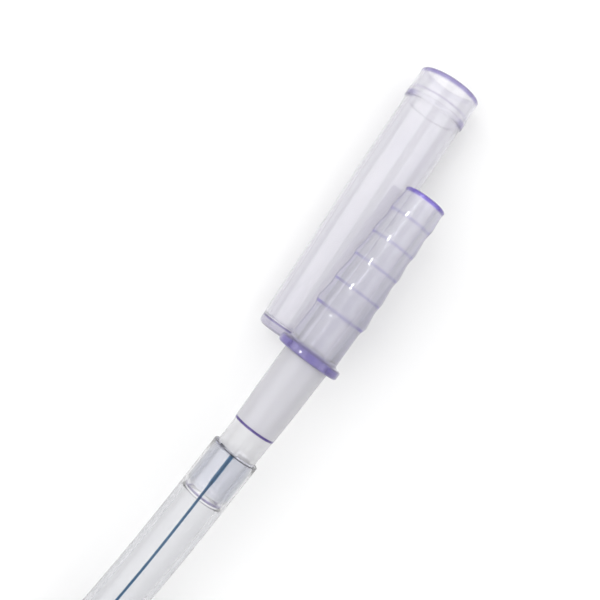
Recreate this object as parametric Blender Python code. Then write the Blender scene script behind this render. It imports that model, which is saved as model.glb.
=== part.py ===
"""Drain end of an external urinary catheter: a stepped connector on a clear tube, with its cap taken off.

The connector's axis runs along +X towards its tip and the cap lies on the +Y side, on the same surface as
the free tube. Lengths are in metres. While the pieces are placed, x is measured from the middle of the
connector's flange, y from the connector's axis and z from the surface. At the end everything moves so that
the origin is under the middle of the connector, the cap and the connecting tube.
"""

import math

import bmesh
import bpy
from mathutils import Vector

MM = 0.001

# Stepped connector, from the flange to the tip
FLANGE_DIAMETER = 12.3 * MM
FLANGE_THICKNESS = 1.7 * MM
FLANGE_ROUNDING = 0.55 * MM
NECK_DIAMETER = 9.5 * MM
NECK_LENGTH = 7.2 * MM
NECK_ROUNDING = 0.8 * MM
LAST_RIDGE_RAMP = 1.35 * MM
RIDGE_RAMP = 0.7 * MM
RIDGE_STEP = 0.12 * MM
RIDGE_DIAMETERS = (10.3 * MM, 9.62 * MM, 9.22 * MM, 8.76 * MM, 8.52 * MM)
RIDGE_PITCHES = (5.3 * MM, 5.1 * MM, 4.7 * MM, 5.1 * MM)
TIP_LENGTH = 4.2 * MM
TIP_DIAMETER = 8.16 * MM
TIP_ROUNDING = 0.42 * MM
CONE_BORE_AT_TIP = 5.4 * MM
CONE_BORE_AT_FLANGE = 4.8 * MM

# Shank, on the other side of the flange
SHANK_LENGTH = 15.05 * MM
SHANK_ROOT_DIAMETER = 6.7 * MM
SHANK_END_DIAMETER = 5.9 * MM
SHANK_ROUNDING = 0.3 * MM
SHANK_BORE = 4.2 * MM
BORE_STEP_LENGTH = 1.2 * MM

# Protective cap
CAP_LENGTH = 55.5 * MM
CAP_END_DIAMETER = 10.65 * MM
CAP_BODY_DIAMETER = 11.95 * MM
CAP_TAPER_LENGTH = 33.0 * MM
CAP_MOUTH_DIAMETER = 12.24 * MM
CAP_MOUTH_LENGTH = 4.0 * MM
CAP_RING_HEIGHT = 0.12 * MM
CAP_RING_WIDTH = 2.0 * MM
CAP_WALL = 0.75 * MM
CAP_FLOOR = 1.7 * MM
CAP_CORNER = 0.9 * MM
CAP_LIP_ROUNDING = 0.35 * MM
CAP_SOCKET_DEPTH = 4.9 * MM
CAP_SOCKET_STEP = 0.25 * MM
CAP_END_X = -0.59 * MM
CAP_END_Y = 5.25 * MM
CAP_YAW = math.radians(2.95)

# Connecting tube
TUBE_WALL = 0.8 * MM
TUBE_DIAMETER = 7.85 * MM
TUBE_SHRINK_LENGTH = 1.0 * MM
TUBE_FREE_LENGTH = 5.1 * MM
TUCK_DEPTH = 9.3 * MM
TUCK_DIAMETER = 7.44 * MM
TUBE_ROUNDING = 0.3 * MM
TUBE_LEAN = math.radians(1.4)

# Drainage tube
HOSE_DIAMETER = 9.15 * MM
HOSE_BORE = 7.0 * MM
HOSE_END_ROUNDING = 0.3 * MM
HOSE_END_LENGTH = 12.6 * MM
HOSE_POINT_SPACING = 8.0 * MM
HOSE_BEVEL_RESOLUTION = 4
# Points beyond the bonded end, down to the surface, and the tail that comes back beside them, in millimetres
HOSE_ROUTE = [
    (-42.0, 0.70, 15.6),
    (-49.0, 1.03, 14.9),
    (-57.0, 1.50, 13.75),
    (-66.0, 1.95, 12.2),
    (-76.0, 2.25, 10.4),
    (-87.0, 2.42, 8.6),
    (-98.0, 2.50, 7.15),
    (-108.0, 2.50, 6.2),
    (-117.0, 2.50, 5.8),
    (-125.0, 2.50, 5.72),
    (-133.0, 2.50, 5.5),
    (-141.0, 2.50, 5.0),
    (-149.7, 2.50, 4.65),
]
TAIL_ROUTE = [
    (-149.7, -6.95, 4.65),
    (-141.0, -6.95, 5.0),
    (-133.0, -6.95, 5.5),
    (-125.0, -6.95, 5.72),
    (-117.0, -6.95, 5.5),
    (-109.0, -6.95, 5.0),
    (-100.0, -6.95, 4.65),
    (-90.0, -6.95, 4.6),
    (-81.0, -6.95, 4.6),
    (-72.0, -6.95, 4.6),
    (-64.0, -6.95, 4.6),
]

# Hank that holds the rest of the drainage tube: two runs side by side and an open loop at their end
HANK_START_X = -150.0 * MM
HANK_RUN_LENGTH = 40.0 * MM
HANK_MIDDLE_Y = -2.225 * MM
HANK_RUN_PITCH = 9.45 * MM
HANK_LOOP_RADIUS = 27.8 * MM
HANK_NECK_RADIUS = 40.0 * MM
HANK_HEIGHT = 9.2 * MM

# Tie round the two runs
TIE_X = -125.0 * MM
TIE_WIDTH = 4.0 * MM
TIE_THICKNESS = 0.8 * MM
TIE_AXIS_HEIGHT = 5.72 * MM

FIT_GAP = 0.3 * MM  # clear space between pieces that touch
SEGMENTS = 40  # flats round a turned piece
ROUNDING_STEPS = 3  # flats in a rounded edge


def radians_of_turn(before, corner, after):
    """Angle between the two sides that meet at a corner of an outline."""
    return (before - corner).angle(after - corner)


def rounded_outline(points, closed):
    """Points of an outline whose corners carry a rounding: each entry is along, radius, rounding."""
    count = len(points)
    result = []
    for i, (along, out, rounding) in enumerate(points):
        corner = Vector((along, out))
        end_of_line = not closed and i in (0, count - 1)
        if rounding == 0.0 or end_of_line:
            result.append(corner)
            continue
        before = Vector(points[i - 1][:2])
        after = Vector(points[(i + 1) % count][:2])
        half = radians_of_turn(before, corner, after) / 2
        setback = rounding / math.tan(half)
        to_before = (before - corner).normalized()
        to_after = (after - corner).normalized()
        centre = corner + (to_before + to_after).normalized() * (rounding / math.sin(half))
        first = corner + to_before * setback - centre
        last = corner + to_after * setback - centre
        sweep = first.angle_signed(last)
        for step in range(ROUNDING_STEPS + 1):
            turn = -sweep * step / ROUNDING_STEPS
            x = first.x * math.cos(turn) - first.y * math.sin(turn)
            y = first.x * math.sin(turn) + first.y * math.cos(turn)
            result.append(centre + Vector((x, y)))
    return result


def make_material(name, colour, roughness):
    material = bpy.data.materials.new(name)
    material.use_nodes = True
    shader = material.node_tree.nodes["Principled BSDF"]
    shader.inputs["Base Color"].default_value = (*colour, 1.0)
    shader.inputs["Roughness"].default_value = roughness
    shader.inputs["Metallic"].default_value = 0.0
    return material


def add_object(name, data, material, parent):
    piece = bpy.data.objects.new(name, data)
    data.materials.append(material)
    bpy.context.scene.collection.objects.link(piece)
    piece.parent = parent
    return piece


def finish_mesh(bm, name):
    """Closes doubled vertices, turns the faces outwards and shades the round faces smooth."""
    bmesh.ops.remove_doubles(bm, verts=bm.verts, dist=0.000001)
    bmesh.ops.recalc_face_normals(bm, faces=bm.faces)
    mesh = bpy.data.meshes.new(name)
    bm.to_mesh(mesh)
    bm.free()
    mesh.shade_smooth()
    mesh.set_sharp_from_angle(angle=math.radians(35))
    return mesh


def turn(outline, closed=True):
    """Turns an outline of along and radius round the X axis, starting straight below the axis."""
    bm = bmesh.new()
    points = rounded_outline(outline, closed)
    verts = [bm.verts.new((p.x, 0.0, -p.y)) for p in points]
    followers = verts[1:] + verts[:1] if closed else verts[1:]
    edges = [bm.edges.new(pair) for pair in zip(verts, followers)]
    bmesh.ops.spin(
        bm,
        geom=verts + edges,
        cent=(0.0, 0.0, 0.0),
        axis=(1.0, 0.0, 0.0),
        angle=math.tau,
        steps=SEGMENTS,
        use_merge=True,
    )
    return bm


def smooth_points(route, spacing):
    """Points at an even spacing on one smooth curve through the points of a route."""
    knots = [Vector(p) * MM for p in route]
    knots = [2 * knots[0] - knots[1], *knots, 2 * knots[-1] - knots[-2]]
    fine = []
    steps = 12
    for a, b, c, d in zip(knots, knots[1:], knots[2:], knots[3:]):
        for step in range(steps):
            t = step / steps
            fine.append(
                b
                + (c - a) * (t / 2)
                + (2 * a - 5 * b + 4 * c - d) * (t**2 / 2)
                + (3 * b - a - 3 * c + d) * (t**3 / 2)
            )
    fine.append(knots[-2])
    reached = [0.0]
    for before, after in zip(fine, fine[1:]):
        reached.append(reached[-1] + (after - before).length)
    count = max(2, round(reached[-1] / spacing))
    result = []
    piece = 0
    for i in range(count + 1):
        wanted = reached[-1] * i / count
        while piece < len(fine) - 2 and reached[piece + 1] < wanted:
            piece += 1
        share = (wanted - reached[piece]) / (reached[piece + 1] - reached[piece])
        result.append(fine[piece].lerp(fine[piece + 1], min(share, 1.0)))
    return result


def ridge_stations():
    """Distance of each ridge from the middle of the flange, from the largest to the smallest."""
    stations = [FLANGE_THICKNESS / 2 + NECK_LENGTH + LAST_RIDGE_RAMP]
    for pitch in RIDGE_PITCHES:
        stations.append(stations[-1] + pitch)
    return stations


def connector_outer():
    """Outer side of the connector from its tip to the end of its shank."""
    stations = ridge_stations()
    face = FLANGE_THICKNESS / 2
    outline = [(stations[-1] + TIP_LENGTH, TIP_DIAMETER / 2, TIP_ROUNDING)]
    for station, diameter in zip(stations[:0:-1], RIDGE_DIAMETERS[:0:-1]):
        outline.append((station, diameter / 2, 0.0))
        outline.append((station - RIDGE_RAMP, diameter / 2 - RIDGE_STEP, 0.0))
    outline.append((stations[0], RIDGE_DIAMETERS[0] / 2, 0.3 * LAST_RIDGE_RAMP))
    outline.append((stations[0] - LAST_RIDGE_RAMP, NECK_DIAMETER / 2, 0.0))
    outline.append((face, NECK_DIAMETER / 2, NECK_ROUNDING))
    outline.append((face, FLANGE_DIAMETER / 2, FLANGE_ROUNDING))
    outline.append((-face, FLANGE_DIAMETER / 2, FLANGE_ROUNDING))
    outline.append((-face, SHANK_ROOT_DIAMETER / 2, 0.0))
    outline.append((-face - SHANK_LENGTH, SHANK_END_DIAMETER / 2, SHANK_ROUNDING))
    return outline


def make_connector(parent, height):
    face = FLANGE_THICKNESS / 2
    tip = ridge_stations()[-1] + TIP_LENGTH
    outline = connector_outer() + [
        (-face - SHANK_LENGTH, SHANK_BORE / 2, 0.0),
        (-face, SHANK_BORE / 2, 0.0),
        (-face + BORE_STEP_LENGTH, CONE_BORE_AT_FLANGE / 2, 0.0),
        (tip, CONE_BORE_AT_TIP / 2, 0.0),
    ]
    mesh = finish_mesh(turn(outline), "stepped_connector")
    material = make_material("violet_clear_plastic", (0.62, 0.58, 0.82), 0.15)
    piece = add_object("stepped_connector", mesh, material, parent)
    piece.location = (0.0, 0.0, height)


def cap_radius(station):
    """Outer radius of the cap's plain body at a distance from its closed end."""
    share = min(station / CAP_TAPER_LENGTH, 1.0)
    return (CAP_END_DIAMETER + (CAP_BODY_DIAMETER - CAP_END_DIAMETER) * share) / 2


def cap_outer():
    """Outer side of the cap from its closed end to its mouth."""
    ring_end = CAP_LENGTH - CAP_MOUTH_LENGTH
    ring_start = ring_end - CAP_RING_WIDTH
    ring_radius = CAP_MOUTH_DIAMETER / 2 + CAP_RING_HEIGHT
    return [
        (0.0, 0.0, 0.0),
        (0.0, cap_radius(0.0), CAP_CORNER),
        (CAP_TAPER_LENGTH, cap_radius(CAP_TAPER_LENGTH), 0.0),
        (ring_start, cap_radius(ring_start), 0.0),
        (ring_start, ring_radius, 0.0),
        (ring_end, ring_radius, 0.0),
        (ring_end, CAP_MOUTH_DIAMETER / 2, 0.0),
        (CAP_LENGTH, CAP_MOUTH_DIAMETER / 2, CAP_LIP_ROUNDING),
    ]


def resting_line():
    """Radius at the closed end and slope of the line that the cap lies on, on both sides of its middle."""
    points = rounded_outline(cap_outer(), closed=False)
    middle = CAP_LENGTH / 2
    for first in points:
        for last in points:
            if not first.x < middle < last.x:
                continue
            slope = (last.y - first.y) / (last.x - first.x)
            start = first.y - slope * first.x
            if all(p.y < start + slope * p.x + 0.001 * MM for p in points):
                return start, slope
    raise ValueError("the cap has nothing to lie on")


def cap_axis_height(station):
    """Height of the cap's axis above the surface at a distance from its closed end."""
    start, slope = resting_line()
    tilt = math.atan(slope)
    return start * math.cos(tilt) + station * math.sin(tilt)


def make_cap(parent):
    socket_radius = CAP_MOUTH_DIAMETER / 2 - CAP_WALL
    socket_floor = CAP_LENGTH - CAP_SOCKET_DEPTH
    taper_inner = cap_radius(CAP_TAPER_LENGTH) - CAP_WALL
    outline = cap_outer() + [
        (CAP_LENGTH, socket_radius, 0.0),
        (socket_floor, socket_radius, 0.0),
        (socket_floor, socket_radius - CAP_SOCKET_STEP, 0.0),
        (CAP_TAPER_LENGTH, taper_inner, 0.0),
        (CAP_FLOOR, cap_radius(CAP_FLOOR) - CAP_WALL, CAP_CORNER),
        (CAP_FLOOR, 0.0, 0.0),
    ]
    mesh = finish_mesh(turn(outline, closed=False), "protective_cap")
    material = make_material("pale_violet_clear_plastic", (0.86, 0.84, 0.93), 0.08)
    piece = add_object("protective_cap", mesh, material, parent)
    piece.location = (CAP_END_X, CAP_END_Y, cap_axis_height(0.0))
    piece.rotation_euler = (0.0, -math.atan(resting_line()[1]), CAP_YAW)


def connector_height():
    """Height of the connector's axis, where its outer side just clears the cap that it leans on."""
    height = FLANGE_DIAMETER / 2
    for point in rounded_outline(connector_outer(), closed=False):
        station = (point.x - CAP_END_X) / math.cos(CAP_YAW)
        if not 0.0 < station < CAP_LENGTH:
            continue
        aside = CAP_END_Y + station * math.sin(CAP_YAW)
        reach = point.y + cap_radius(station) + FIT_GAP
        rise = math.sqrt(max(reach**2 - aside**2, 0.0))
        height = max(height, cap_axis_height(station) + rise)
    return height


def lean(bm, start):
    """Leans what lies beyond a station towards the cap's side, as the soft tube bends there."""
    for vert in bm.verts:
        if vert.co.x < start:
            vert.co.y += (start - vert.co.x) * math.tan(TUBE_LEAN)


def shank_end():
    return -FLANGE_THICKNESS / 2 - SHANK_LENGTH


def hose_mouth():
    """Station of the drainage tube's open end."""
    return shank_end() - TUBE_FREE_LENGTH


def make_connecting_tube(parent, height):
    top = -FLANGE_THICKNESS / 2 - FIT_GAP
    bottom = hose_mouth() - TUCK_DEPTH
    neck = shank_end() - TUBE_SHRINK_LENGTH
    root_bore = SHANK_ROOT_DIAMETER / 2 + FIT_GAP
    end_bore = SHANK_END_DIAMETER / 2 + FIT_GAP
    free = TUBE_DIAMETER / 2
    tucked = TUCK_DIAMETER / 2
    outline = [
        (top, root_bore + TUBE_WALL, TUBE_ROUNDING),
        (shank_end(), end_bore + TUBE_WALL, 0.0),
        (neck, free, 0.0),
        (hose_mouth() + FIT_GAP, free, 0.0),
        (hose_mouth(), tucked, 0.0),
        (bottom, tucked, TUBE_ROUNDING),
        (bottom, tucked - TUBE_WALL, 0.0),
        (neck, free - TUBE_WALL, 0.0),
        (shank_end(), end_bore, 0.0),
        (top, root_bore, 0.0),
    ]
    bm = turn(outline)
    lean(bm, shank_end())
    mesh = finish_mesh(bm, "connecting_tube")
    material = make_material("soft_clear_plastic", (0.86, 0.86, 0.90), 0.12)
    piece = add_object("connecting_tube", mesh, material, parent)
    piece.location = (0.0, 0.0, height)


def hose_end_bottom():
    return hose_mouth() - HOSE_END_LENGTH


def make_hose_end(parent, height, material):
    mouth = hose_mouth()
    bottom = hose_end_bottom()
    seat = mouth - TUCK_DEPTH - FIT_GAP
    socket = TUCK_DIAMETER / 2 + FIT_GAP
    outline = [
        (mouth, HOSE_DIAMETER / 2, HOSE_END_ROUNDING),
        (bottom, HOSE_DIAMETER / 2, 0.0),
        (bottom, HOSE_BORE / 2, 0.0),
        (seat, HOSE_BORE / 2, 0.0),
        (seat, socket, 0.0),
        (mouth, socket, 0.0),
    ]
    bm = turn(outline)
    lean(bm, shank_end())
    piece = add_object("drainage_tube_end", finish_mesh(bm, "drainage_tube_end"), material, parent)
    piece.location = (0.0, 0.0, height)


def hose_start(height):
    """Where the drainage tube goes on beyond its bonded end, in millimetres."""
    x = hose_end_bottom() - FIT_GAP
    y = (shank_end() - x) * math.tan(TUBE_LEAN)
    return (x / MM, y / MM, height / MM)


def make_hose_run(parent, name, route, material):
    """A free stretch of the drainage tube, as a bevelled curve."""
    curve = bpy.data.curves.new(name, "CURVE")
    curve.dimensions = "3D"
    curve.bevel_depth = HOSE_DIAMETER / 2
    curve.bevel_resolution = HOSE_BEVEL_RESOLUTION
    curve.use_fill_caps = True
    points = smooth_points(route, HOSE_POINT_SPACING)
    spline = curve.splines.new("POLY")
    spline.points.add(len(points) - 1)
    for place, point in zip(spline.points, points):
        place.co = (*point, 1.0)
    return add_object(name, curve, material, parent)


def arc(centre, radius, start, end, steps):
    """Points of an arc in the plane of the surface."""
    angles = [start + (end - start) * i / steps for i in range(steps + 1)]
    return [centre + radius * Vector((math.cos(a), math.sin(a))) for a in angles]


def hank_outline():
    """Outer edge of the hank seen from above, on its +Y side from the runs to the end of the loop."""
    half_width = (HANK_RUN_PITCH + HOSE_DIAMETER) / 2
    between = HANK_NECK_RADIUS + HANK_LOOP_RADIUS
    aside = HANK_NECK_RADIUS + HANK_RUN_PITCH / 2
    turn_angle = math.acos(min(aside / between, 1.0))
    neck_x = HANK_START_X - HANK_RUN_LENGTH
    loop_x = neck_x - between * math.sin(turn_angle)
    neck_inner = HANK_NECK_RADIUS - HOSE_DIAMETER / 2
    loop_outer = HANK_LOOP_RADIUS + HOSE_DIAMETER / 2
    down = -math.pi / 2
    points = [Vector((HANK_START_X, half_width))]
    points += arc(Vector((neck_x, aside)), neck_inner, down, down - turn_angle, 8)
    points += arc(Vector((loop_x, 0.0)), loop_outer, math.pi / 2 - turn_angle, math.pi, 16)[1:]
    return points


def make_hank(parent, material):
    side = hank_outline()
    around = side + [Vector((p.x, -p.y)) for p in side[-2::-1]]
    bm = bmesh.new()
    verts = [bm.verts.new((p.x, p.y + HANK_MIDDLE_Y, 0.0)) for p in around]
    floor = bm.faces.new(verts)
    grown = bmesh.ops.extrude_face_region(bm, geom=[floor])
    top = [v for v in grown["geom"] if isinstance(v, bmesh.types.BMVert)]
    bmesh.ops.translate(bm, verts=top, vec=(0.0, 0.0, HANK_HEIGHT))
    add_object("drainage_tube_hank", finish_mesh(bm, "drainage_tube_hank"), material, parent)


def tie_ring(out, steps):
    """Closed outline round the two runs of the hank, in the plane across them."""
    centres = [Vector((HANK_RUN_PITCH / 2, 0.0)), Vector((-HANK_RUN_PITCH / 2, 0.0))]
    right = arc(centres[0], out, -math.pi / 2, math.pi / 2, steps)
    left = arc(centres[1], out, math.pi / 2, 3 * math.pi / 2, steps)
    return right + left


def make_tie(parent):
    steps = 10
    inner = HOSE_DIAMETER / 2 + FIT_GAP
    bm = bmesh.new()
    loops = []
    for out in (inner, inner + TIE_THICKNESS):
        verts = [
            bm.verts.new((TIE_X - TIE_WIDTH / 2, HANK_MIDDLE_Y + p.x, TIE_AXIS_HEIGHT + p.y))
            for p in tie_ring(out, steps)
        ]
        loops += [bm.edges.new(pair) for pair in zip(verts, verts[1:] + verts[:1])]
    ring = bmesh.ops.bridge_loops(bm, edges=loops)["faces"]
    grown = bmesh.ops.extrude_face_region(bm, geom=ring)
    far = [v for v in grown["geom"] if isinstance(v, bmesh.types.BMVert)]
    bmesh.ops.translate(bm, verts=far, vec=(TIE_WIDTH, 0.0, 0.0))
    material = make_material("white_band", (0.88, 0.89, 0.90), 0.45)
    add_object("hank_tie", finish_mesh(bm, "hank_tie"), material, parent)


def put_origin_below(parent, names):
    """Moves everything so that the origin is under the middle of the named pieces."""
    bpy.context.view_layer.update()
    corners = []
    for name in names:
        piece = bpy.data.objects[name]
        corners += [piece.matrix_world @ vert.co for vert in piece.data.vertices]
    middle_x = (min(c.x for c in corners) + max(c.x for c in corners)) / 2
    middle_y = (min(c.y for c in corners) + max(c.y for c in corners)) / 2
    parent.location = (-middle_x, -middle_y, 0.0)
    bpy.context.view_layer.update()


def main():
    for piece in list(bpy.data.objects):
        bpy.data.objects.remove(piece, do_unlink=True)
    frame = bpy.data.objects.new("frame", None)
    bpy.context.scene.collection.objects.link(frame)
    height = connector_height()
    hose_material = make_material("clear_tube_plastic", (0.84, 0.88, 0.92), 0.1)
    make_connector(frame, height)
    make_cap(frame)
    make_connecting_tube(frame, height)
    make_hose_end(frame, height, hose_material)
    make_hose_run(frame, "drainage_tube", [hose_start(height), *HOSE_ROUTE], hose_material)
    make_hank(frame, hose_material)
    make_hose_run(frame, "drainage_tube_tail", TAIL_ROUTE, hose_material)
    make_tie(frame)
    put_origin_below(frame, ("stepped_connector", "protective_cap", "connecting_tube"))


main()
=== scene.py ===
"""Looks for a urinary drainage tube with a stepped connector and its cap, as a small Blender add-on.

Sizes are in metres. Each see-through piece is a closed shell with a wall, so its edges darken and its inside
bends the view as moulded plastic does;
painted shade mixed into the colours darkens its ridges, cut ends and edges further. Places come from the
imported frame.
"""

import math

import bmesh
import bpy
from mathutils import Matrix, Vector


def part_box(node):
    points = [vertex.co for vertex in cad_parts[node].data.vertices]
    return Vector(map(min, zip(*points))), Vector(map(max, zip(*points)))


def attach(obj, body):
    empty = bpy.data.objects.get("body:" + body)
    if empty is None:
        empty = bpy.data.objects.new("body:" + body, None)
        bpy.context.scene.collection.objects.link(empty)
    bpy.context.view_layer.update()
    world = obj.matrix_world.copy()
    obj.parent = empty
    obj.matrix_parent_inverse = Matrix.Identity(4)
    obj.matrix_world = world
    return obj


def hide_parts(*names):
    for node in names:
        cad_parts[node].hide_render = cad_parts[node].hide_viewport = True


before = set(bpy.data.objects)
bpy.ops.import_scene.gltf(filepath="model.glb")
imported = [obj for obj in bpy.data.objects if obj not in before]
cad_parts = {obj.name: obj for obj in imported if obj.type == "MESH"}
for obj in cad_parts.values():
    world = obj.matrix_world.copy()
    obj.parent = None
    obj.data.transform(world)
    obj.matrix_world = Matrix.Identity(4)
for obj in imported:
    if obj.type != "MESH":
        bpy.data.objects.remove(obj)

bl_info = {
    "name": "Drainage tube with stepped connector",
    "version": (1, 0, 0),
    "blender": (4, 5, 0),
    "location": "View3D > Sidebar > Drainage tube",
    "description": "Builds a stepped connector, its cap and a striped drainage tube round a packed frame",
    "category": "Object",
}

MM = 0.001

# Collection of the pieces that the small lamp lights
SPARK_LIT = "spark_lit"

# Points of the drainage tube's route in millimetres: along and aside from the middle of the connector's
# flange, and up from the surface. The second list is the tail that comes back beside the first.
HOSE_ROUTE = [
    (-42.0, 0.70, 15.6),
    (-49.0, 1.03, 14.9),
    (-57.0, 1.50, 13.75),
    (-66.0, 1.95, 12.2),
    (-76.0, 2.25, 10.4),
    (-87.0, 2.42, 8.6),
    (-98.0, 2.50, 7.15),
    (-108.0, 2.50, 6.2),
    (-117.0, 2.50, 5.8),
    (-125.0, 2.50, 5.72),
    (-133.0, 2.50, 5.5),
    (-141.0, 2.50, 5.0),
    (-149.7, 2.50, 4.65),
]
TAIL_ROUTE = [
    (-149.7, -6.95, 4.65),
    (-141.0, -6.95, 5.0),
    (-133.0, -6.95, 5.5),
    (-125.0, -6.95, 5.72),
    (-117.0, -6.95, 5.5),
    (-109.0, -6.95, 5.0),
    (-100.0, -6.95, 4.65),
    (-90.0, -6.95, 4.6),
    (-81.0, -6.95, 4.6),
    (-72.0, -6.95, 4.6),
    (-64.0, -6.95, 4.6),
]


def length(name, default, description):
    return bpy.props.FloatProperty(
        name=name, description=description, default=default, min=0.0, precision=5, unit="LENGTH"
    )


def angle(name, default, description):
    return bpy.props.FloatProperty(
        name=name, description=description, default=math.radians(default), unit="ROTATION"
    )


def colour(name, red, green, blue, description):
    return bpy.props.FloatVectorProperty(
        name=name, description=description, default=(red, green, blue, 1.0), size=4, subtype="COLOR"
    )


class ConnectorSizes(bpy.types.PropertyGroup):
    """Sizes and colours of the stepped connector"""

    shank: length("Shank", 15.05 * MM, "Length of the shank behind the flange")
    seen_root: length("Shank root", 8.6 * MM, "Shank diameter at the flange, as the tube on it magnifies it")
    seen_end: length("Shank end", 7.6 * MM, "Shank diameter at its end, as the tube on it magnifies it")
    shank_bore: length("Shank bore", 6.2 * MM, "Bore of the shank, as it is magnified")
    flange: length("Flange thickness", 1.7 * MM, "Thickness of the flange")
    neck: length("Neck", 9.45 * MM, "Diameter of the neck at the ridges")
    neck_root: length("Neck root", 9.7 * MM, "Diameter of the neck at the flange")
    neck_length: length("Neck length", 7.2 * MM, "Length of the neck")
    last_ridge: length("Last ridge", 10.34 * MM, "Diameter of the ridge next to the neck")
    tip: length("Tip", 8.1 * MM, "Diameter at the tip")
    bore_tip: length("Bore at tip", 5.6 * MM, "Bore at the tip")
    bore_flange: length("Bore at flange", 4.8 * MM, "Bore at the flange")
    tint: colour("Tint", 0.94, 0.935, 0.96, "Colour of the moulding")
    # Deep colour: painted shade at the ridges' creases, the tip's lip, the neck, the shank's end and the
    # edges seen edge on, and the deeper violet of the thick flange
    deep_tint_and_shade: colour("Deep tint", 0.26, 0.18, 0.72, "Colour where the moulding's edges gather the tint")


class CapSizes(bpy.types.PropertyGroup):
    """Sizes and colours of the protective cap"""

    length: length("Length", 55.5 * MM, "Length from the closed end to the mouth")
    closed_end: length("Closed end", 10.65 * MM, "Diameter at the closed end")
    body: length("Body", 11.95 * MM, "Diameter beyond the taper")
    taper: length("Taper", 33.0 * MM, "Length of the taper")
    waist: length("Waist", 11.86 * MM, "Diameter just before the ring")
    ring: length("Ring", 12.46 * MM, "Diameter of the ring")
    ring_width: length("Ring width", 2.0 * MM, "Width of the ring")
    mouth: length("Mouth", 12.24 * MM, "Diameter at the mouth")
    mouth_length: length("Mouth length", 4.0 * MM, "Length of the mouth beyond the ring")
    wall: length("Wall", 0.75 * MM, "Thickness of the wall")
    floor: length("Floor", 1.7 * MM, "Thickness of the closed end")
    yaw: angle("Yaw", 2.95, "Turn about the upright axis")
    tint: colour("Tint", 0.96, 0.955, 0.98, "Colour of the moulding")
    # Deep colour: painted shade at the cap's mouth rim, closed end, ring and edges seen edge on
    deep_tint_and_shade: colour("Deep tint", 0.38, 0.33, 0.62, "Colour where the moulding's edges gather the tint")


class TubingSizes(bpy.types.PropertyGroup):
    """Sizes and colours of the connecting tube, the drainage tube and its tie"""

    sleeve: length("Sleeve", 7.85 * MM, "Diameter of the connecting tube where it is free")
    sleeve_wall: length("Sleeve wall", 0.9 * MM, "Wall of the connecting tube")
    sleeve_top: length("Sleeve top", 8.9 * MM, "Diameter of the connecting tube at the flange")
    sleeve_middle: length("Sleeve middle", 8.62 * MM, "Its diameter just past the middle of the shank")
    sleeve_end: length("Sleeve end", 8.0 * MM, "Diameter of the connecting tube at the shank's end")
    tuck: length("Tuck", 9.3 * MM, "Length of the connecting tube inside the drainage tube")
    lean: angle("Lean", 1.4, "Lean of the tubes behind the shank")
    hose: length("Drainage tube", 9.15 * MM, "Outer diameter of the drainage tube")
    bore: length("Drainage tube bore", 7.0 * MM, "Bore of the drainage tube")
    stripe: length("Stripe", 0.5 * MM, "Width of the blue stripe")
    stripe_twist: bpy.props.FloatProperty(
        name="Stripe twist", description="Turns of the stripe for each metre of tube", default=-0.14
    )
    stripe_first: angle("Stripe start", 5.0, "Turn of the stripe at the bonded end, from the top")
    run_pitch: length("Run pitch", 9.45 * MM, "Distance between the runs of the hank")
    fold: length("Fold", 190.0 * MM, "Distance from the flange to where the runs part")
    loop_radius: length("Loop radius", 27.8 * MM, "Radius of the hank's open loop")
    neck_radius: length("Loop neck radius", 40.0 * MM, "Radius of the bends that lead into the loop")
    tucked: length("Tucked end", 7.8 * MM, "Diameter of the connecting tube inside the drainage tube")
    bond: length("Bond", 0.26 * MM, "Thickness of the bonding layer round the tucked end")
    bond_length: length("Bond length", 7.4 * MM, "Length of the bonding layer")
    tie_width: length("Tie width", 4.0 * MM, "Width of the tie")
    tie_thickness: length("Tie thickness", 0.6 * MM, "Thickness of the tie")
    # Colours of painted shade at the tubes' cut ends; the connecting tube's colour also gives a faint cast
    # over the shank
    sleeve_shade_tint: colour("Sleeve edges", 0.17, 0.11, 0.42, "Colour at the connecting tube's cut ends")
    hose_end_shade: colour("Tube edges", 0.45, 0.46, 0.80, "Colour at the drainage tube's bonded end")
    stripe_blue: colour("Stripe colour", 0.03, 0.13, 0.26, "Colour of the stripe")


class StageSizes(bpy.types.PropertyGroup):
    """Camera and floor"""

    focal: length("Focal length", 54.3 * MM, "Focal length on a sensor 36 mm wide")
    height: length("Camera height", 172.9 * MM, "Camera height above the surface")
    aim_x: length("Aim along", 6.8 * MM, "Picture middle from the flange, along the connector")
    aim_y: length("Aim aside", 7.1 * MM, "Picture middle from the connector's axis, to the cap's side")
    turn: angle("Turn", -53.2, "Turn of the picture about the upright axis")
    floor: length("Floor", 6.0, "Side of the floor")


class DrainageTubeSettings(bpy.types.PropertyGroup):
    """All the settings of the add-on"""

    connector: bpy.props.PointerProperty(type=ConnectorSizes)
    cap: bpy.props.PointerProperty(type=CapSizes)
    tubing: bpy.props.PointerProperty(type=TubingSizes)
    stage: bpy.props.PointerProperty(type=StageSizes)


def settings():
    return bpy.context.scene.drainage_tube


# Places from the frame


def axis_point():
    """Middle of the connector's flange."""
    low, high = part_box("stepped_connector")
    sizes = settings().connector
    return Vector((low.x + sizes.shank + sizes.flange / 2, (low.y + high.y) / 2, (low.z + high.z) / 2))


def from_flange(point):
    """Place in metres of a route's point, which is in millimetres from the flange and the surface."""
    flange = axis_point()
    return Vector((flange.x + point[0] * MM, flange.y + point[1] * MM, point[2] * MM))


# Shapes


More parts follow.
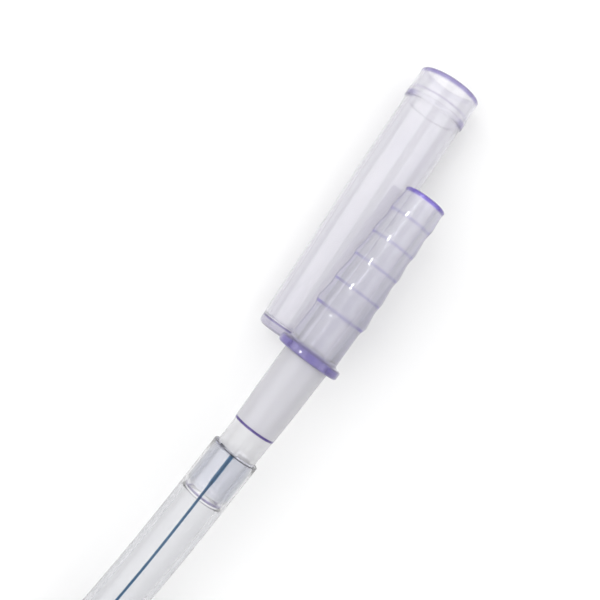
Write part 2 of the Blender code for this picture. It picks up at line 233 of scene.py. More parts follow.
class Line:
    """A centreline with a frame at each distance along it, kept from twisting."""

    def __init__(self, points, up=(0.0, 0.0, 1.0)):
        self.points = points
        steps = [b - a for a, b in zip(points, points[1:])]
        turning = [a.normalized() + b.normalized() for a, b in zip(steps, steps[1:])]
        self.ahead = [along.normalized() for along in (steps[0], *turning, steps[-1])]
        self.reached = [0.0]
        for step in steps:
            self.reached.append(self.reached[-1] + step.length)
        top = Vector(up)
        self.up = []
        for along in self.ahead:
            top = (top - along * top.dot(along)).normalized()
            self.up.append(top)
        self.piece = 0

    def at(self, distance):
        """Centre, side and top directions at a distance. Beyond its ends the line goes straight on."""
        last = len(self.points) - 2
        while self.piece < last and self.reached[self.piece + 1] < distance:
            self.piece += 1
        while self.piece > 0 and self.reached[self.piece] > distance:
            self.piece -= 1
        i = self.piece
        share = (distance - self.reached[i]) / (self.reached[i + 1] - self.reached[i])
        centre = self.points[i].lerp(self.points[i + 1], share)
        within = min(max(share, 0.0), 1.0)
        along = self.ahead[i].lerp(self.ahead[i + 1], within).normalized()
        up = self.up[i].lerp(self.up[i + 1], within)
        up = (up - along * up.dot(along)).normalized()
        return centre, along.cross(up), up


def smooth_points(route, spacing):
    """Points at an even spacing on one smooth curve through the points of a route."""
    knots = [2 * route[0] - route[1], *route, 2 * route[-1] - route[-2]]
    fine = []
    steps = 24
    for a, b, c, d in zip(knots, knots[1:], knots[2:], knots[3:]):
        for step in range(steps):
            t = step / steps
            fine.append(
                b
                + (c - a) * (t / 2)
                + (2 * a - 5 * b + 4 * c - d) * (t**2 / 2)
                + (3 * b - a - 3 * c + d) * (t**3 / 2)
            )
    fine.append(knots[-2])
    line = Line(fine)
    count = round(line.reached[-1] / spacing)
    return [line.at(line.reached[-1] * i / count)[0] for i in range(count + 1)]


def rounded(outline, closed, steps=5):
    """Points of an outline of along, radius and rounding, with its corners rounded."""
    result = []
    count = len(outline)
    for i, (along, out, rounding) in enumerate(outline):
        corner = Vector((along, out))
        if rounding == 0.0 or (not closed and i in (0, count - 1)):
            result.append(corner)
            continue
        before = (Vector(outline[i - 1][:2]) - corner).normalized()
        after = (Vector(outline[(i + 1) % count][:2]) - corner).normalized()
        half = before.angle(after) / 2
        centre = corner + (before + after).normalized() * (rounding / math.sin(half))
        first = corner + before * (rounding / math.tan(half)) - centre
        last = corner + after * (rounding / math.tan(half)) - centre
        sweep = -first.angle_signed(last)
        for step in range(steps + 1):
            turned = sweep * step / steps
            x = first.x * math.cos(turned) - first.y * math.sin(turned)
            y = first.x * math.sin(turned) + first.y * math.cos(turned)
            result.append(centre + Vector((x, y)))
    return result


def divided(points, closed, spacing):
    """The same outline with further points on its long sides."""
    result = []
    followers = points[1:] + points[:1] if closed else points[1:]
    for a, b in zip(points, followers):
        count = max(1, math.ceil((b - a).length / spacing))
        result += [a.lerp(b, i / count) for i in range(count)]
    return result if closed else [*result, points[-1]]


def shell(name, outline, line, closed=True, sides=96, spacing=None, first=0.0, twist=0.0):
    """A turned shell on a line, with a ring for each point of the outline and UVs round and along."""
    points = rounded(outline, closed)
    if spacing:
        points = divided(points, closed, spacing)
    bm = bmesh.new()
    uv = bm.loops.layers.uv.new("UVMap")
    rings = []
    for point in points:
        centre, side, up = line.at(point.x)
        if point.y < 0.000001:
            rings.append([bm.verts.new(centre)] * sides)
            continue
        start = math.pi + first + math.tau * twist * point.x
        turns = [start + math.tau * k / sides for k in range(sides)]
        spokes = [up * math.cos(t) + side * math.sin(t) for t in turns]
        rings.append([bm.verts.new(centre + point.y * spoke) for spoke in spokes])
    followers = rings[1:] + rings[:1] if closed else rings[1:]
    run = 0.0
    for number, (ring, following) in enumerate(zip(rings, followers)):
        step = (points[(number + 1) % len(points)] - points[number]).length
        for k in range(sides):
            n = (k + 1) % sides
            corners = [(ring[k], k, run), (ring[n], k + 1, run)]
            corners += [(following[n], k + 1, run + step), (following[k], k, run + step)]
            kept = [c for i, c in enumerate(corners) if c[0] not in [d[0] for d in corners[:i]]]
            if len(kept) < 3:
                continue
            face = bm.faces.new([c[0] for c in kept])
            for loop, (_, turn, along) in zip(face.loops, kept):
                loop[uv].uv = (turn / sides, along / 0.1)
        run += step
    bmesh.ops.recalc_face_normals(bm, faces=bm.faces)
    return mesh_object(name, bm)


def mesh_object(name, bm):
    mesh = bpy.data.meshes.new(name)
    bm.to_mesh(mesh)
    bm.free()
    mesh.shade_smooth()
    mesh.set_sharp_from_angle(angle=math.radians(40))
    piece = bpy.data.objects.new(name, mesh)
    bpy.context.scene.collection.objects.link(piece)
    return piece


def cover(piece, material, limit):
    """Gives the faces before a place along X, which lie inside another piece, a material of their own."""
    piece.data.materials.append(material)
    for face in piece.data.polygons:
        face.material_index = 1 if face.center.x < limit else 0


def finish_piece(piece, material, slot, *nodes):
    """Gives a piece its material, hangs it on the root body and hides the CAD nodes it stands for."""
    piece.data.materials.append(material)
    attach(piece, "root")
    if nodes:
        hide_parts(*nodes)
    return piece


# Materials


class Term:
    """A shader output or number that can be added, multiplied and compared."""

    def __init__(self, shader, value):
        self.shader = shader
        self.value = value

    def math(self, operation, *others):
        return self.shader.node("ShaderNodeMath", self, *others, operation=operation)

    def __add__(self, other):
        return self.math("ADD", other)

    def __radd__(self, other):
        return Term(self.shader, other).math("ADD", self)

    def __sub__(self, other):
        return self.math("SUBTRACT", other)

    def __rsub__(self, other):
        return Term(self.shader, other).math("SUBTRACT", self)

    def __mul__(self, other):
        return self.math("MULTIPLY", other)

    def __rmul__(self, other):
        return Term(self.shader, other).math("MULTIPLY", self)

    def __truediv__(self, other):
        return self.math("DIVIDE", other)

    def __rtruediv__(self, other):
        return Term(self.shader, other).math("DIVIDE", self)

    def __abs__(self):
        return self.math("ABSOLUTE")

    def between(self, low, high, start=0.0, end=1.0):
        """Goes smoothly from start to end as this goes from low to high."""
        return self.shader.node(
            "ShaderNodeMapRange", self, low, high, start, end, interpolation_type="SMOOTHSTEP"
        )


class Shader:
    """Makes the nodes of one material, or of the world."""

    def __init__(self, name, world=None):
        self.material = world or bpy.data.materials.new(name)
        self.material.use_nodes = True
        self.tree = self.material.node_tree
        self.surface = self.tree.nodes.get("Principled BSDF")
        self.output = self.tree.nodes.get("Material Output")

    def node(self, kind, *inputs, output=0, named=None, **options):
        """A new node: inputs in order or by name, then its settings. Returns one of its outputs."""
        made = self.tree.nodes.new(kind)
        for key, value in options.items():
            setattr(made, key, value)
        for key, value in [*enumerate(inputs), *(named or {}).items()]:
            self.set(made.inputs[key], value)
        return Term(self, made.outputs[output])

    def set(self, socket, value):
        value = value.value if isinstance(value, Term) else value
        if isinstance(value, bpy.types.NodeSocket):
            self.tree.links.new(value, socket)
        else:
            socket.default_value = value

    def position(self):
        return self.node("ShaderNodeTexCoord", output="Object")

    def around(self):
        """Turn round a shell, from 0 to 1, and distance along it in tenths of a metre."""
        split = self.node("ShaderNodeSeparateXYZ", self.node("ShaderNodeTexCoord", output="UV"))
        return split, Term(self, split.value.node.outputs["Y"])

    def measured(self, place, start, direction):
        """Distance of a place from a start, along a direction."""
        dot = self.node("ShaderNodeVectorMath", place, direction, operation="DOT_PRODUCT", output="Value")
        return dot - start.dot(direction)

    def scaled(self, vector, scale):
        return self.node("ShaderNodeVectorMath", vector, scale, operation="MULTIPLY")

    def noise(self, vector, scale, detail=2.0):
        return self.node("ShaderNodeTexNoise", named={"Vector": vector, "Scale": scale, "Detail": detail})

    def mix(self, share, first, second):
        """Blends two colours; the node's colour inputs are its 6th and 7th, its colour output its 2nd."""
        inputs = {0: share, 6: first, 7: second}
        return self.node("ShaderNodeMix", output=2, named=inputs, data_type="RGBA")

    def bump(self, height, distance, strength=1.0):
        named = {"Strength": strength, "Distance": distance, "Height": height}
        self.set(self.surface.inputs["Normal"], self.node("ShaderNodeBump", named=named))

    def plain(self, **values):
        """Sets sockets of the surface by name, with underscores for spaces."""
        for key, value in values.items():
            self.set(self.surface.inputs[key.replace("_", " ")], value)

    def absorb(self, loss):
        """Light lost for each metre of plastic, in red, green and blue."""
        most = max(loss)
        volume = self.tree.nodes.new("ShaderNodeVolumeAbsorption")
        volume.inputs["Color"].default_value = (*(1.0 - each / most for each in loss), 1.0)
        volume.inputs["Density"].default_value = most
        self.tree.links.new(volume.outputs["Volume"], self.output.inputs["Volume"])


def moulded_plastic(name, loss, tint, deep_tint_and_shade, clearness, roughness, axis, lines, edge_shade):
    """Hazy moulded plastic with a polished skin. Bands across its axis of start, direction and radius mix in
    the deep colour as painted shade at ridges, creases, cut ends and flanks, and as the plastic's own deeper
    violet where it is thick. Each band is a distance from the start, a half width and its strengths on top
    and at the flanks; the bands are weaker on the underside. The edge share is painted shade where the wall
    is seen edge on."""
    start, ahead, radius = axis
    aside = ahead.cross(Vector((0.0, 0.0, 1.0))).normalized()
    shader = Shader(name)
    place = shader.position()
    along = shader.measured(place, start, ahead)
    flank = (abs(shader.measured(place, start, aside)) / radius).between(0.6, 0.95)
    top = (shader.measured(place, start, aside.cross(ahead)) / radius).between(-0.35, 0.25, 0.2, 1.0)
    flow = shader.noise(shader.scaled(place, (0.35, 1.0, 1.0)), 220.0)
    grain = shader.noise(place, 2400.0, 3.0)
    edge_on = shader.node("ShaderNodeLayerWeight", 0.5, output="Facing")
    # Painted shade: the deep colour darkens the bands and the wall where it is seen edge on; the flow noise
    # is the plastic's own uneven tone
    tint_and_painted_shade = flow.between(0.2, 0.8, 0.0, 0.06) + edge_on.between(0.35, 0.85, 0.0, edge_shade)
    for middle, half, strength, at_flanks in lines:
        here = abs(along - middle).between(half * 0.3, half, 1.0, 0.0)
        tint_and_painted_shade = tint_and_painted_shade + here * top * (flank * (at_flanks - strength) + strength)
    shader.plain(
        Base_Color=shader.mix(tint_and_painted_shade, tint, deep_tint_and_shade),
        Roughness=flow.between(0.3, 0.7, roughness * 0.9, roughness * 1.15) + grain * 0.02,
        IOR=1.5,
        Transmission_Weight=clearness,
        Coat_Weight=0.6,
        Coat_Roughness=0.04,
    )
    shader.bump(flow + grain * 0.1, 0.000003)
    shader.absorb(loss)
    return shader.material


def tube_plastic(name, loss, deep_tint_and_shade, clearness, roughness, lines, contact=None, stripe_share=None):
    """Soft clear extrusion, a little cloudy, and on the drainage tube a blue stripe. Bands across at the cut
    ends are painted shade in a dark blue violet, and beyond the contact's place the skin is hazy and takes a
    faint cast of that colour."""
    shader = Shader(name)
    where = shader.node("ShaderNodeSeparateXYZ", shader.position())
    turn, along = shader.around()
    cloud = shader.noise(shader.position(), 300.0)
    tint_and_painted_shade = cloud * 0.02
    # Painted shade: the cut-end bands darken the skin towards the deep colour
    for middle, half, strength in lines:
        tint_and_painted_shade = tint_and_painted_shade + abs(where - middle).between(half * 0.3, half, strength, 0.0)
    if contact:
        on_shank = where.between(contact - 0.2 * MM, contact + 0.2 * MM)
        tint_and_painted_shade = tint_and_painted_shade + on_shank * 0.085
    skin = shader.mix(tint_and_painted_shade, (0.985, 0.985, 0.99, 1.0), deep_tint_and_shade)
    finish = cloud.between(0.3, 0.7, roughness * 0.8, roughness * 1.3)
    if contact:
        finish = finish + on_shank * 0.14
    if stripe_share:
        away = abs(turn - 0.5)
        wander = (shader.noise(along * 30.0, 1.0) - 0.5) * (stripe_share * 0.2)
        heavy = along.between(0.05, 0.08, 0.62, 1.0)
        inside = ((away + wander) * heavy).between(stripe_share * 0.36, stripe_share * 0.6, 1.0, 0.0)
        skin = shader.mix(inside, skin, settings().tubing.stripe_blue)
    shader.plain(
        Base_Color=skin,
        Roughness=finish,
        IOR=1.52,
        Transmission_Weight=clearness,
    )
    shader.absorb(loss)
    return shader.material


def bond_plastic():
    """Clear bonding layer with a blue violet cast, a little cloudy."""
    shader = Shader("bonding_layer")
    cloud = shader.noise(shader.position(), 900.0, 3.0)
    shader.plain(
        Base_Color=shader.mix(cloud, (0.93, 0.94, 0.98, 1.0), (0.99, 0.99, 1.0, 1.0)),
        Roughness=cloud.between(0.3, 0.7, 0.04, 0.1),
        IOR=1.48,
        Transmission_Weight=1.0,
    )
    shader.absorb((180.0, 150.0, 50.0))
    return shader.material


def band_plastic():
    """Plain white band with a fine woven emboss."""
    shader = Shader("white_band")
    place = shader.position()
    grain = shader.noise(place, 1800.0, 4.0)
    bands = {"Vector": place, "Scale": 900.0}
    weave = shader.node("ShaderNodeTexWave", output="Fac", named=bands, bands_direction="DIAGONAL")
    shader.plain(
        Base_Color=shader.mix(grain, (0.66, 0.67, 0.68, 1.0), (0.76, 0.77, 0.78, 1.0)),
        Roughness=grain.between(0.2, 0.8, 0.4, 0.6),
    )
    shader.bump(weave * 0.6 + grain * 0.4, 0.00006)
    return shader.material


def floor_paint():
    """Even white table, with a very faint mottle."""
    shader = Shader("white_table")
    mottle = shader.noise(shader.position(), 40.0)
    shader.plain(
        Base_Color=shader.mix(mottle, (0.905, 0.905, 0.905, 1.0), (0.92, 0.92, 0.92, 1.0)),
        Roughness=0.9,
        Specular_IOR_Level=0.1,
    )
    kinds = ("Is Camera Ray", "Is Glossy Ray", "Is Transmission Ray")
    straight, glossy, through = (shader.node("ShaderNodeLightPath", output=kind) for kind in kinds)
    paper = shader.node("ShaderNodeEmission", (1.0, 1.0, 1.0, 1.0), 1.0)
    share = straight * 0.08 + glossy * 0.4 + through * 0.8
    painted = Term(shader, shader.surface.outputs["BSDF"])
    seen = shader.node("ShaderNodeMixShader", share, painted, paper)
    shader.set(shader.output.inputs["Surface"], seen)
    return shader.material


def studio_world():
    """White studio whose light is weaker near the horizon and on the side away from the key light."""
    world = bpy.data.worlds.new("studio")
    shader = Shader("studio", world)
    across = shader.node("ShaderNodeSeparateXYZ", shader.node("ShaderNodeTexCoord"), output="Y")
    upward = Term(shader, across.value.node.outputs["Z"])
    sky = world.node_tree.nodes["Background"]
    sky.inputs["Color"].default_value = (1.0, 1.0, 1.0, 1.0)
    light = across.between(-0.9, 0.7, 0.94, 1.1) * upward.between(0.0, 0.6, 0.62, 1.0)
    straight = shader.node("ShaderNodeLightPath", output="Is Camera Ray")
    shader.set(sky.inputs["Strength"], light + straight * (1.0 - light))
    return world


# Pieces


class OBJECT_OT_drainage_connector(bpy.types.Operator):
    """Builds the stepped connector"""

    bl_idname = "object.drainage_connector"
    bl_label = "Stepped connector"

    def execute(self, context):
        sizes = settings().connector
        low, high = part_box("stepped_connector")
        flange = axis_point()
        face = sizes.flange / 2
        tip = high.x - flange.x
        # Each ridge's place from the flange, its diameter and that of the hollow behind it
        ridges = [
            (29.8 * MM, 8.55 * MM, 8.06 * MM),
            (24.7 * MM, 8.87 * MM, 8.36 * MM),
            (19.8 * MM, 9.28 * MM, 8.83 * MM),
            (14.5 * MM, 9.72 * MM, 9.34 * MM),
        ]
        ramp = 1.6 * MM
        last_ramp = 1.5 * MM
        lip = 0.45 * MM
        outline = [
            (tip, sizes.tip / 2, 0.3 * MM),
            (tip - lip, sizes.tip / 2, 0.3 * MM),
            (tip - 2 * lip, sizes.tip / 2 - 0.1 * MM, 1.0 * MM),
        ]
        for place, peak, valley in ridges:
            outline.append((place, peak / 2, 0.5 * MM))
            outline.append((place - ramp, valley / 2, 6.0 * MM))
        neck_end = face + sizes.neck_length
        outline += [
            (neck_end + last_ramp, sizes.last_ridge / 2, 0.3 * MM),
            (neck_end, sizes.neck / 2, 3.0 * MM),
            (face, sizes.neck_root / 2, 0.7 * MM),
            (face, high.z - flange.z, 0.45 * MM),
            (-face, high.z - flange.z, 0.45 * MM),
            (-face, sizes.seen_root / 2, 0.3 * MM),
            (low.x - flange.x, sizes.seen_end / 2, 0.35 * MM),
            (low.x - flange.x, sizes.shank_bore / 2, 0.2 * MM),
            (-face, sizes.shank_bore / 2, 0.3 * MM),
            (face, sizes.bore_flange / 2, 0.3 * MM),
            (tip, sizes.bore_tip / 2, 0.25 * MM),
        ]
        line = Line([flange, flange + Vector((0.01, 0.0, 0.0))])
        piece = shell("connector_moulding", outline, line, sides=224)
        # Bands of painted shade at the tip's lip, the shank's end, each ridge's crease and the neck; the
        # wide band over the flange is its deeper violet and painted shade at its faces
        lines = [(tip - 0.3 * MM, 0.65 * MM, 1.0, 1.0), (low.x - flange.x + 0.1 * MM, 0.35 * MM, 1.0, 1.0)]
        lines += [(place - 0.75 * MM, 0.35 * MM, 0.25, 0.6) for place, _, _ in ridges]
        lines += [(neck_end + 0.7 * MM, 0.4 * MM, 0.3, 0.8), (0.0, 1.4 * MM, 0.8, 0.9)]
        tint = sizes.tint
        deep_tint_and_shade = sizes.deep_tint_and_shade
        loss = (132.0, 134.0, 100.0)
        axis = (flange, Vector((1.0, 0.0, 0.0)), sizes.neck / 2)
        material = moulded_plastic("violet_plastic", loss, tint, deep_tint_and_shade, 0.76, 0.15, axis, lines, 0.4)
        finish_piece(piece, material, "violet_clear_plastic", "stepped_connector")
        loss = (60.0, 62.0, 44.0)
        covered = moulded_plastic("violet_shank_plastic", loss, tint, deep_tint_and_shade, 1.0, 0.1, axis, lines, 0.0)
        cover(piece, covered, flange.x - face)
        bpy.data.collections[SPARK_LIT].objects.link(piece)
        return {"FINISHED"}


class OBJECT_OT_drainage_cap(bpy.types.Operator):
    """Builds the protective cap"""

    bl_idname = "object.drainage_cap"
    bl_label = "Protective cap"

    def execute(self, context):
        sizes = settings().cap
        low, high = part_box("protective_cap")
        slope = math.atan((sizes.body - sizes.closed_end) / 2 / sizes.taper)
        ahead = Vector((math.cos(sizes.yaw), math.sin(sizes.yaw), math.tan(slope))).normalized()
        ring_end = sizes.length - sizes.mouth_length
        ring_start = ring_end - sizes.ring_width
        mouth_bore = sizes.mouth / 2 - sizes.wall
        socket_floor = ring_end - 0.9 * MM
        outline = [
            (0.0, 0.0, 0.0),
            (0.0, sizes.closed_end / 2, 0.9 * MM),
            (sizes.taper, sizes.body / 2, 0.0),
            (sizes.taper + 10.0 * MM, sizes.body / 2, 0.0),
            (ring_start, sizes.waist / 2, 0.15 * MM),
            (ring_start + 0.15 * MM, sizes.ring / 2, 0.25 * MM),
            (ring_end - 0.15 * MM, sizes.ring / 2, 0.25 * MM),
            (ring_end, sizes.mouth / 2, 0.1 * MM),
            (sizes.length, sizes.mouth / 2, 0.36 * MM),
            (sizes.length, mouth_bore, 0.3 * MM),
            (socket_floor, mouth_bore, 0.0),
            (socket_floor - 0.03 * MM, mouth_bore - 0.15 * MM, 0.0),
            (sizes.taper, sizes.body / 2 - sizes.wall, 0.0),
            (sizes.floor, sizes.closed_end / 2 - sizes.wall, 0.9 * MM),
            (sizes.floor, 0.0, 0.0),
        ]
        middle = (low.y + high.y) / 2
        half_run = sizes.length / 2 * math.sin(sizes.yaw)
        start = Vector((low.x + sizes.closed_end / 2 * math.sin(sizes.yaw), middle - half_run, 0.0))
        start.z = sizes.closed_end / 2 * math.cos(slope)
        piece = shell("cap_moulding", outline, Line([start, start + ahead * 0.01]), closed=False, sides=224)
        # Bands of painted shade at the mouth's rim, the inside of the closed end, the closed end's edge and
        # the ring, whose band is mostly at its flanks
        lines = [
            (sizes.length - 0.3 * MM, 0.85 * MM, 0.95, 0.95),
            (sizes.floor, 0.32 * MM, 1.0, 1.0),
            (0.5 * MM, 1.3 * MM, 0.25, 0.25),
            (ring_start + 0.5 * MM, 0.9 * MM, 0.06, 1.0),
            (ring_end, 0.3 * MM, 0.25, 0.4),
        ]
        tint = sizes.tint
        deep_tint_and_shade = sizes.deep_tint_and_shade
        loss = (66.0, 70.0, 52.0)
        axis = (start, ahead, sizes.ring / 2)
        material = moulded_plastic("pale_violet_plastic", loss, tint, deep_tint_and_shade, 0.8, 0.08, axis, lines, 0.12)
        finish_piece(piece, material, "pale_violet_clear_plastic", "protective_cap")
        return {"FINISHED"}


def tube_line():
    """Straight line of the two tubes behind the shank, which leans to the cap's side."""
    low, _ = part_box("stepped_connector")
    flange = axis_point()
    lean = settings().tubing.lean
    start = Vector((low.x, flange.y, flange.z))
    return start, Vector((-math.cos(lean), math.sin(lean), 0.0))


class OBJECT_OT_drainage_sleeve(bpy.types.Operator):
    """Builds the short connecting tube that is stretched over the shank"""

    bl_idname = "object.drainage_sleeve"
    bl_label = "Connecting tube"

    def execute(self, context):
        sizes = settings().tubing
        connector = settings().connector
        start, ahead = tube_line()
        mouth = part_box("drainage_tube_end")[1].x
        flange = axis_point()
        lead = connector.shank
        top = 0.02 * MM
        free = start.x - mouth + lead
        end = free + sizes.tuck
        gap = 0.03 * MM
        tucked = sizes.tucked / 2
        outline = [
            (top, sizes.sleeve_top / 2, 0.1 * MM),
            (lead * 0.55, sizes.sleeve_middle / 2, 0.0),
            (lead - 0.6 * MM, sizes.sleeve_end / 2 + 0.1 * MM, 0.0),
            (lead + 0.5 * MM, sizes.sleeve / 2 + 0.03 * MM, 0.0),
            (free - 0.2 * MM, sizes.sleeve / 2, 0.1 * MM),
            (free + 0.3 * MM, tucked, 0.1 * MM),
            (end, tucked, 0.3 * MM),
            (end, tucked - sizes.sleeve_wall, 0.1 * MM),
            (lead + 0.14 * MM, sizes.sleeve / 2 - sizes.sleeve_wall, 0.0),
            (lead + 0.1 * MM, connector.seen_end / 2 + gap, 0.0),
            (top, connector.seen_root / 2 + gap, 0.1 * MM),
        ]
        points = [flange - Vector((connector.flange / 2, 0.0, 0.0)), start, start + ahead * 0.02]
        piece = shell("connecting_tube_skin", outline, Line(points), sides=224, spacing=1.5 * MM)
        # Bands of painted shade at the tucked end's cut and over the shank's end
        lines = [(start.x - end + lead + 0.15 * MM, 0.4 * MM, 0.8)]
        lines.append((start.x + 0.15 * MM, 0.34 * MM, 1.0))
        loss = (110.0, 114.0, 92.0)
        deep_tint_and_shade = sizes.sleeve_shade_tint
        material = tube_plastic("soft_clear_plastic", loss, deep_tint_and_shade, 0.62, 0.05, lines, start.x)
        finish_piece(piece, material, "soft_clear_plastic", "connecting_tube")
        loss = (40.0, 40.0, 34.0)
        cover(piece, tube_plastic("soft_tucked_plastic", loss, deep_tint_and_shade, 1.0, 0.03, lines), mouth)
        return {"FINISHED"}


def bend(centre, radius, start, end, count):
    """Points of a bend that lies on the surface, without its first point."""
    turns = [start + (end - start) * i / count for i in range(1, count + 1)]
    return [centre + radius * Vector((math.cos(t), math.sin(t), 0.0)) for t in turns]


def hose_route():
    """Route of the whole drainage tube from its bonded end through the hank to its free end."""
    sizes = settings().tubing
    start, ahead = tube_line()
    mouth = start.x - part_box("drainage_tube_end")[1].x
    bonded = [start + ahead * (mouth + d * MM) for d in (0.0, 6.0, 12.9)]
    out = [from_flange(p) for p in HOSE_ROUTE]
    back = [from_flange(p) for p in TAIL_ROUTE]
    level = out[-1].z
    fold = axis_point().x - sizes.fold
    middle = (out[-1].y + back[0].y) / 2
    half = sizes.run_pitch / 2
    reach = sizes.neck_radius + sizes.loop_radius
    turn = math.acos((sizes.neck_radius + half) / reach)
    loop_x = fold - reach * math.sin(turn)
    quarter = math.pi / 2
    runs = 4
    ahead = (fold - out[-1].x) / runs
    run = [Vector((out[-1].x + ahead * i, middle + half, level)) for i in range(1, runs + 1)]
    upper = Vector((fold, middle + half + sizes.neck_radius, level))
    lower = Vector((fold, middle - half - sizes.neck_radius, level))
    loop = Vector((loop_x, middle, level))
    folded = bend(upper, sizes.neck_radius, -quarter, -quarter - turn, 5)
    folded += bend(loop, sizes.loop_radius, quarter - turn, 3 * quarter + turn, 24)
    folded += bend(lower, sizes.neck_radius, quarter + turn, quarter, 5)
    mirrored = [Vector((p.x, 2 * middle - p.y, level)) for p in run[-2::-1]]
    return bonded + out + run + folded + mirrored + back


class OBJECT_OT_drainage_hose(bpy.types.Operator):
    """Builds the drainage tube with its blue stripe, and the tie round its hank"""

    bl_idname = "object.drainage_hose"
    bl_label = "Drainage tube"

    def execute(self, context):
        sizes = settings().tubing
        points = smooth_points(hose_route(), 1.5 * MM)
        line = Line(points)
        total = line.reached[-1]
        outer = sizes.hose / 2
        bore = sizes.bore / 2
        socket = sizes.tucked / 2 + sizes.bond + 0.04 * MM
        outline = [
            (0.0, outer, 0.15 * MM),
            (total, outer, 0.15 * MM),
            (total, bore, 0.1 * MM),
            (sizes.tuck + 0.35 * MM, bore, 0.0),
            (sizes.tuck + 0.3 * MM, socket, 0.0),
            (0.0, socket, 0.1 * MM),
        ]
        stripe = {"first": sizes.stripe_first, "twist": sizes.stripe_twist}
        piece = shell("drainage_hose", outline, line, sides=208, spacing=2.4 * MM, **stripe)
        stripe_share = sizes.stripe / (math.tau * outer)
        # Band of painted shade at the bonded end's cut face
        lines = [(points[0].x - 0.05 * MM, 0.3 * MM, 0.4)]
        loss = (100.0, 98.0, 88.0)
        deep_tint_and_shade = sizes.hose_end_shade
        material = tube_plastic("clear_tube_plastic", loss, deep_tint_and_shade, 0.93, 0.1, lines, None, stripe_share)
        nodes = ("drainage_tube_end", "drainage_tube", "drainage_tube_hank", "drainage_tube_tail")
        finish_piece(piece, material, "clear_tube_plastic", *nodes)
        inside = sizes.tucked / 2 + 0.02 * MM
        ring = [
            (0.25 * MM, inside, 0.0),
            (0.25 * MM, inside + sizes.bond, 0.0),
            (sizes.bond_length, inside + sizes.bond, 0.3 * MM),
            (sizes.bond_length + 0.8 * MM, inside, 0.0),
        ]
        bond = shell("bonding_layer", ring, line)
        finish_piece(bond, bond_plastic(), None)
        tie = self.make_tie()
        return {"FINISHED"}

    def make_tie(self):
        """A flat band round both runs of the hank."""
        sizes = settings().tubing
        low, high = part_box("hank_tie")
        middle = (low + high) / 2
        half = sizes.run_pitch / 2
        inner = sizes.hose / 2 + 0.06 * MM
        steps = 16
        bm = bmesh.new()
        verts = []
        for side in (1, -1):
            for i in range(steps + 1):
                turn = side * math.pi / 2 * (1 - 2 * i / steps)
                y = middle.y + side * (half + inner * math.cos(turn))
                z = middle.z + inner * math.sin(turn)
                verts.append(bm.verts.new((middle.x - sizes.tie_width / 2, y, z)))
        edges = [bm.edges.new(pair) for pair in zip(verts, verts[1:] + verts[:1])]
        grown = bmesh.ops.extrude_edge_only(bm, edges=edges)["geom"]
        far = [v for v in grown if isinstance(v, bmesh.types.BMVert)]
        bmesh.ops.translate(bm, verts=far, vec=(sizes.tie_width, 0.0, 0.0))
        bmesh.ops.recalc_face_normals(bm, faces=bm.faces)
        bmesh.ops.solidify(bm, geom=bm.faces, thickness=-sizes.tie_thickness)
        bmesh.ops.recalc_face_normals(bm, faces=bm.faces)
        piece = mesh_object("tie_band", bm)
        return finish_piece(piece, band_plastic(), "white_band", "hank_tie")


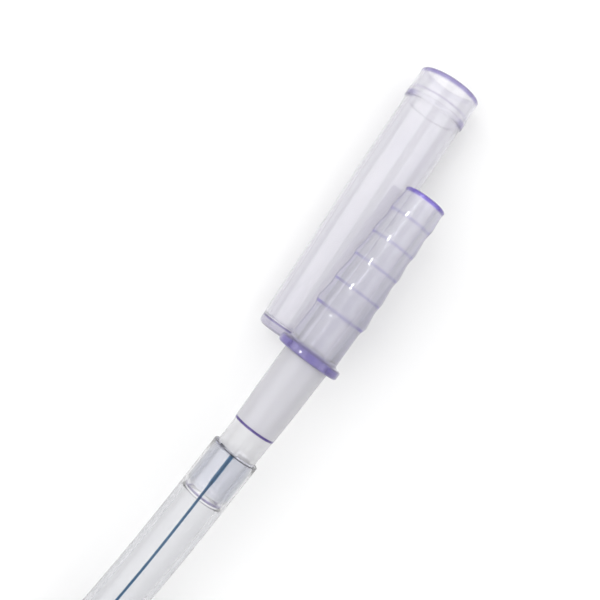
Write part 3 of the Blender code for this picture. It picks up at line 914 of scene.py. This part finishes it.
class OBJECT_OT_drainage_stage(bpy.types.Operator):
    """Builds the floor, the lights and the camera"""

    bl_idname = "object.drainage_stage"
    bl_label = "Stage"

    def execute(self, context):
        sizes = settings().stage
        flange = axis_point()
        aim = Vector((flange.x + sizes.aim_x, flange.y + sizes.aim_y, 0.0))
        self.make_floor(sizes)
        self.make_lights(aim)
        camera = bpy.data.objects.new("camera", bpy.data.cameras.new("camera"))
        bpy.context.scene.collection.objects.link(camera)
        camera.location = aim + Vector((0.0, 0.0, sizes.height))
        camera.rotation_euler = (0.0, 0.0, sizes.turn)
        camera.data.lens = sizes.focal / MM
        camera.data.sensor_width = 36.0
        camera.data.clip_start = 0.01
        camera.data.clip_end = 20.0
        bpy.context.scene.camera = camera
        bpy.context.scene.view_settings.view_transform = "Standard"
        bpy.context.scene.view_settings.look = "None"
        return {"FINISHED"}

    def make_floor(self, sizes):
        bm = bmesh.new()
        bmesh.ops.create_grid(bm, x_segments=4, y_segments=4, size=sizes.floor / 2)
        bmesh.ops.translate(bm, verts=bm.verts, vec=(0.0, 0.0, -0.02 * MM))
        floor = mesh_object("floor", bm)
        floor.data.materials.append(floor_paint())

    def make_lights(self, aim):
        bpy.context.scene.world = studio_world()
        self.make_lamp("key", aim, Vector((-0.10, 0.42, 0.50)), 0.80, 0.80, 1.8)
        self.make_lamp("fill", aim, Vector((0.10, -0.50, 0.60)), 0.60, 0.60, 0.8)
        spark = self.make_lamp("spark", aim, Vector((-0.052, 0.28, 0.45)), 0.044, 0.085, 0.28)
        spark.light_linking.receiver_collection = bpy.data.collections.new(SPARK_LIT)

    def make_lamp(self, name, aim, place, along, across, power):
        """A flat lamp at a place from the aim, which it faces."""
        lamp = bpy.data.lights.new(name, "AREA")
        lamp.shape = "RECTANGLE"
        lamp.size = along
        lamp.size_y = across
        lamp.energy = power
        holder = bpy.data.objects.new(name, lamp)
        holder.location = aim + place
        holder.rotation_euler = place.to_track_quat("Z", "Y").to_euler()
        bpy.context.scene.collection.objects.link(holder)
        return holder


class VIEW3D_PT_drainage_tube(bpy.types.Panel):
    """Sizes and build buttons"""

    bl_idname = "VIEW3D_PT_drainage_tube"
    bl_label = "Drainage tube"
    bl_space_type = "VIEW_3D"
    bl_region_type = "UI"
    bl_category = "Drainage tube"

    def draw(self, context):
        groups = (
            (settings().connector, (OBJECT_OT_drainage_connector,)),
            (settings().cap, (OBJECT_OT_drainage_cap,)),
            (settings().tubing, (OBJECT_OT_drainage_sleeve, OBJECT_OT_drainage_hose)),
            (settings().stage, (OBJECT_OT_drainage_stage,)),
        )
        for group, operators in groups:
            column = self.layout.box().column()
            for name in group.bl_rna.properties.keys():
                if name not in ("rna_type", "name"):
                    column.prop(group, name)
            for operator in operators:
                column.operator(operator.bl_idname)


CLASSES = (
    ConnectorSizes,
    CapSizes,
    TubingSizes,
    StageSizes,
    DrainageTubeSettings,
    OBJECT_OT_drainage_connector,
    OBJECT_OT_drainage_cap,
    OBJECT_OT_drainage_sleeve,
    OBJECT_OT_drainage_hose,
    OBJECT_OT_drainage_stage,
    VIEW3D_PT_drainage_tube,
)


def register():
    for each in CLASSES:
        bpy.utils.register_class(each)
    bpy.types.Scene.drainage_tube = bpy.props.PointerProperty(type=DrainageTubeSettings)


def unregister():
    del bpy.types.Scene.drainage_tube
    for each in reversed(CLASSES):
        bpy.utils.unregister_class(each)


def main():
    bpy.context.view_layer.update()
    register()
    bpy.ops.object.drainage_stage()
    bpy.ops.object.drainage_hose()
    bpy.ops.object.drainage_sleeve()
    bpy.ops.object.drainage_connector()
    bpy.ops.object.drainage_cap()


if __name__ == "__main__":
    main()
